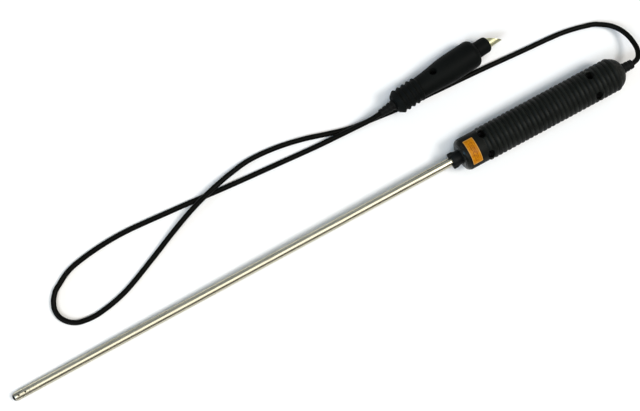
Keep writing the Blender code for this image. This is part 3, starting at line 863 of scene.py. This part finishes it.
def label_seat():
    """The cutter for the label's shallow seat."""
    low, high = SMOOTH_R - 0.65, SMOOTH_R + 1.5
    arc = LABEL_HALF + 0.022
    return arc_plate(
        "label_seat", low, high, LABEL_FROM - GAP, LABEL_TO + GAP, arc * low / high, 0.5, None, label_frame
    )


def label():
    plate = arc_plate(
        "handle_label",
        SMOOTH_R - 0.35,
        SMOOTH_R + 0.1,
        LABEL_FROM,
        LABEL_TO,
        LABEL_HALF,
        0.6,
        "label",
        label_frame,
    )
    return finish_piece(plate, "root", "label", "label_plate")


def screw(name, node, axis, side, along, head_low, head_r, head_high):
    """A pan-head screw with a tapered cross recess."""
    place = upright(axis, side, along)
    corners = [
        (SHANK_LOW, 0),
        (SHANK_LOW, 0.9, 0.2),
        (SHANK_LOW + 0.8, SHANK_R, 0.2),
        (head_low, SHANK_R, 0.1),
        (head_low, head_r, 0.15),
        (head_high - 0.9, head_r, 0.5),
        (head_high, head_r - 1.0, 0.8),
        (head_high, 0),
    ]
    made = lathe(name, corners, "zinc_screw", place, 48)
    wings = []
    for number in range(2):
        wing = block(
            f"{name}_wing_{number}",
            (-0.3, -1.6, head_high - 1.2),
            (0.3, 1.6, head_high + 1.0),
            spun(place, 45 + 90 * number),
        )
        # the recess narrows towards its bottom
        for vert in wing.data.vertices:
            if vert.co.z < (head_high - 1.0) * MM:
                vert.co.x *= 0.6
                vert.co.y *= 0.55
        wings.append(wing)
    carve(made, wings)
    return finish_piece(made, "root", "zinc_screw", node)


def boot_ribs(ribs, ease):
    """Corners of a boot's ribs: each is (from, radius there, to, radius there, groove radius)."""
    corners = []
    for start, start_r, end, end_r, groove_r in ribs:
        corners += [(start, start_r, ease), (end, end_r, 0.4)]
        corners += [(end + ease, groove_r, 0.2), (end + ease + 1.0, groove_r, 0.2)]
    return corners


def rear_boot():
    end = HANDLE_L
    corners = [(158.8, BOOT_BORE, 0.2), (158.8, 6.9, 0.3), (161.7, 6.9, 0.2), (161.7, 4.0, 0.1)]
    ribs = [(end + 0.3, 4.8, end + 2.8, 4.75, 4.1), (end + 4.4, 4.6, end + 6.4, 4.55, 3.95)]
    corners += [(end + 0.3, 4.0, 0.1), *boot_ribs(ribs, 0.3)]
    corners += [(end + 8.0, 4.4, 0.3), (end + BOOT_OUT, 4.25, 0.6), (end + BOOT_OUT, BOOT_BORE, 0.1)]
    boot = lathe("lead_boot", corners, "rubber", probe_axis, 64, True)
    return finish_piece(boot, "root", "rubber", "rear_boot")


# ---------------------------------------------------------------- plug


def plug_outline():
    """The closed plug's outside: tapered end, five ridges, waist, swelling, rounded shoulder."""
    flat, flank = 0.4, 1.7
    corners = [(0, 4.4), (0, 7.6, 0.4), (0.8, 8.8, 0.8), (3.4, 10.6, 1.0)]
    for number in range(PLUG_RIDGE_COUNT):
        crest = PLUG_RIDGE + PLUG_RIDGE_PITCH * number
        corners += [(crest - flat, PLUG_RIDGE_R, 0.5), (crest + flat, PLUG_RIDGE_R, 0.5)]
        corners.append((crest + flank, PLUG_GROOVE_R, 0.5))
        if number < PLUG_RIDGE_COUNT - 1:
            corners.append((crest + PLUG_RIDGE_PITCH - flank, PLUG_GROOVE_R, 0.5))
    corners += [(31.0, 10.4, 3.0), (37.0, 10.8, 20.0), (44.0, 11.5, 30.0), (52.0, 12.5, 30.0)]
    corners += [(60.0, 13.1, 30.0), (68.0, PLUG_R, 40.0), (84.6, PLUG_R, 2.0), (87.0, 12.6, 2.0)]
    corners += [(88.7, 11.2, 1.5), (PLUG_L, 9.4, 0.7), (PLUG_L, NOSE_R + GAP)]
    return soften(corners, arc_steps=5)


def plug_inside():
    """The plug cavity's wall, from its front hole back to its rear hole."""
    return [
        (85.9, NOSE_R + GAP),
        (85.9, 9.8),
        (81.8, 9.8),
        (78.6, 10.4),
        (60.0, 10.2),
        (34.0, 8.2),
        (9.0, 8.0),
        (9.0, 4.9),
        (6.2, 4.9),
        (6.2, 7.3),
        (3.0, 7.3),
        (3.0, 4.4),
    ]


def plug_half(side):
    upper = side > 0
    word = "upper" if upper else "lower"
    shell = half_shell(
        f"plug_{word}_half", plug_outline(), plug_inside(), side, "plug_plastic", plug_frame, 72
    )
    boss = screw_boss(f"plug_boss_{word}", plug_frame, 0, PLUG_SCREW_AT, PLUG_BOSS_TOP, 4.6, upper)
    carve(shell, [boss], "UNION")
    tools = screw_tools(f"plug_tool_{word}", plug_frame, 0, PLUG_SCREW_AT, 3.6, 3.5, upper)
    carve(shell, tools)
    return finish_piece(shell, "root", "plug_plastic", f"plug_{word}_shell")


def plug_nose():
    corners = [(82.2, SHELL_R + GAP), (82.2, 9.4, 0.3), (85.6, 9.4, 0.2), (85.6, NOSE_R, 0.1)]
    corners += [(NOSE_END - 2.6, NOSE_R, 1.4), (NOSE_END - 1.0, 7.0, 1.2), (NOSE_END, 5.8, 0.4)]
    corners += [(NOSE_END, SHELL_R + GAP, 0.2)]
    nose = lathe("plug_nose_ring", corners, "plug_plastic", plug_axis, 80, True)
    return finish_piece(nose, "root", "plug_plastic", "plug_nose")


def contact_shell():
    bore = SHELL_R - SHELL_WALL
    corners = [(83.6, bore), (83.6, SHELL_R), (SHELL_END, SHELL_R), (SHELL_END, bore)]
    shell = lathe("plug_metal_shell", corners, "plated", plug_axis, 120, True)
    # the end is cut at a slant: short on the +Y side, full length on the -Y side
    far = Matrix.Translation((0, SHELL_R * MM, SHELL_END * MM)) @ Matrix.Rotation(SHELL_SLANT, 4, "X")
    carve(shell, [block("shell_slant", (-12, -20, 0), (12, 20, 20), plug_axis @ far)])
    return finish_piece(shell, "root", "plated", "plug_contact_shell")


def pin_place(number):
    """The axis frame of one contact pin."""
    return spun(plug_axis, 45 + 90 * number) @ Matrix.Translation((PIN_CIRCLE_R * MM, 0, 0))


def contact_insert():
    end = NOSE_END + 0.5
    outer = SHELL_R - SHELL_WALL - GAP
    corners = [(84.6, 0), (84.6, outer, 0.2), (end, outer, 0.25), (end, 0)]
    insert = lathe("plug_insert", corners, "white_plastic", plug_axis, 64)
    holes = []
    outline = [(82, 0), (82, 0.85), (end - 0.3, 0.85), (end + 0.5, 1.1), (end + 1, 1.1), (end + 1, 0)]
    for number in range(PIN_COUNT):
        holes.append(lathe(f"pin_hole_{number}", outline, None, pin_place(number), 20))
    carve(insert, holes)
    return finish_piece(insert, "root", "white_plastic", "contact_insert")


def contact_pins():
    pins = []
    for number in range(PIN_COUNT):
        end = NOSE_END + (6.8 if number < 2 else 3.0)
        corners = [(80.6, 0), (80.6, PIN_R, 0.1), (end - 0.7, PIN_R, 0.3), (end, 0.22, 0.15), (end, 0)]
        pin = lathe(f"plug_pin_{number + 1}", corners, "contact_gold", pin_place(number), 24)
        pins.append(finish_piece(pin, "root", "contact_gold", f"contact_pin_{number + 1}"))
    return pins


def plug_boot():
    ribs = [(-PLUG_BOOT_OUT, 3.5, -12.6, 3.7, 3.3), (-10.8, 3.9, -8.4, 4.1, 3.6), (-6.6, 4.3, -4.2, 4.5, 3.9)]
    corners = [(-PLUG_BOOT_OUT, BOOT_BORE, 0.1), *boot_ribs(ribs, 0.4)]
    corners += [(-2.4, 4.8, 0.4), (-GAP, 4.9, 0.3), (-GAP, 4.1, 0.1)]
    corners += [(3.3, 4.1, 0.1), (3.3, 7.0, 0.2), (5.9, 7.0, 0.2), (5.9, BOOT_BORE, 0.1)]
    boot = lathe("plug_lead_boot", corners, "rubber", plug_axis, 64, True)
    return finish_piece(boot, "root", "rubber", "plug_boot")


# ---------------------------------------------------------------- lead


def lead():
    """The cord on its route, its ends held in the two boots."""
    route = [on_axis(probe_axis, HANDLE_L + z) for z in (-12.0, BOOT_OUT - 8.2, BOOT_OUT + 0.4)]
    route += [Vector(p) * MM for p in FREE_ROUTE]
    route += [on_axis(plug_axis, z) for z in (-PLUG_BOOT_OUT - 0.4, -PLUG_BOOT_OUT + 8.0, 14.0)]
    curve = bpy.data.curves.new("lead_cord", "CURVE")
    curve.dimensions = "3D"
    curve.bevel_depth = CABLE_R * MM
    curve.bevel_resolution = 8
    curve.use_fill_caps = True
    curve.resolution_u = 14
    spline = curve.splines.new("BEZIER")
    spline.bezier_points.add(len(route) - 1)
    last = len(route) - 1
    for index, (knot, spot) in enumerate(zip(spline.bezier_points, route)):
        before, after = route[max(index - 1, 0)], route[min(index + 1, last)]
        # a third of the way to the next knot
        slope = (after - before) / (6 if 0 < index < last else 3)
        knot.co = spot
        knot.handle_left = spot - slope
        knot.handle_right = spot + slope
    curve.materials.append(materials["cable_jacket"])
    made = bpy.data.objects.new("lead_cord", curve)
    bpy.context.scene.collection.objects.link(made)
    return finish_piece(made, "root", "cable_jacket", "probe_cable")


# ---------------------------------------------------------------- assembly

add_camera()
cord = lead()
probe_tube()
tip_plug()
clamp_nut()
handle_half(1)
handle_half(-1)
label()
screw_places = {
    "front_left": (-SCREW_SIDE, SCREW_ROWS[0]),
    "front_right": (SCREW_SIDE, SCREW_ROWS[0]),
    "rear_left": (-SCREW_SIDE, SCREW_ROWS[1]),
    "rear_right": (SCREW_SIDE, SCREW_ROWS[1]),
}
head = SCREW_SEAT + GAP
for place_name, (across, along) in screw_places.items():
    node = f"handle_screw_{place_name}"
    screw(f"screw_{place_name}", node, handle_frame, across, along, head, 2.6, head + 2.0)
rear_boot()
plug_pieces = [
    plug_boot(),
    plug_half(1),
    plug_half(-1),
    screw("plug_body_screw", "plug_screw", plug_frame, 0, PLUG_SCREW_AT, 3.9, 2.9, 6.0),
    plug_nose(),
    contact_shell(),
    contact_insert(),
    *contact_pins(),
    "plug_cable_grip",
]

# CAD nodes that stay get their slot's material
slot_of = {part["node"]: part["material_slot"] for part in frame["record"]["subparts"]}
for name, obj in frame["nodes"].items():
    if not obj.hide_render:
        obj.data.materials.clear()
        obj.data.materials.append(materials[slot_of[name]])
        obj.data.shade_smooth()
        obj.data.set_sharp_from_angle(angle=CREASE)


def add_floor():
    form = bmesh.new()
    bmesh.ops.create_grid(form, x_segments=8, y_segments=8, size=FLOOR_HALF)
    mesh = bpy.data.meshes.new("floor")
    form.to_mesh(mesh)
    form.free()
    mesh.materials.append(floor_paper())
    floor = bpy.data.objects.new("floor", mesh)
    bpy.context.scene.collection.objects.link(floor)


def add_sky():
    """A dim room, paler on the far side."""
    world = bpy.data.worlds.new("room")
    world.use_nodes = True
    tree = world.node_tree
    shade_node = tree.nodes["Background"]
    direction = tree.nodes.new("ShaderNodeTexCoord").outputs["Generated"]
    toward = tree.nodes.new("ShaderNodeVectorMath")
    toward.operation = "DOT_PRODUCT"
    toward.inputs[1].default_value = (0.10, 0.85, 0.35)
    tree.links.new(direction, toward.inputs[0])
    ramp = tree.nodes.new("ShaderNodeValToRGB")
    tree.links.new(toward.outputs["Value"], ramp.inputs["Fac"])
    stops = ramp.color_ramp.elements
    stops[0].position, stops[0].color = 0.0, (0.13, 0.12, 0.11, 1)
    stops[1].position, stops[1].color = 0.9, (0.30, 0.33, 0.36, 1)
    tree.links.new(ramp.outputs["Color"], shade_node.inputs["Color"])
    shade_node.inputs["Strength"].default_value = 1.0
    bpy.context.scene.world = world


add_floor()
add_sky()
soft_light("right_light", (1.1, -0.70, 2.1), 1.55, 19, (1.0, 0.975, 0.94))
soft_light("left_light", (-1.45, -0.60, 1.95), 1.17, 19, (0.86, 0.92, 1.0))
soft_light("top_light", (0, -0.16, 1), 0.90, 52, (1.0, 0.96, 0.85))
soft_light("window", (-2.33, 0.15, 0.93), 0.70, 10, (0.36, 0.70, 1.0))
bpy.context.scene.view_settings.view_transform = "Standard"
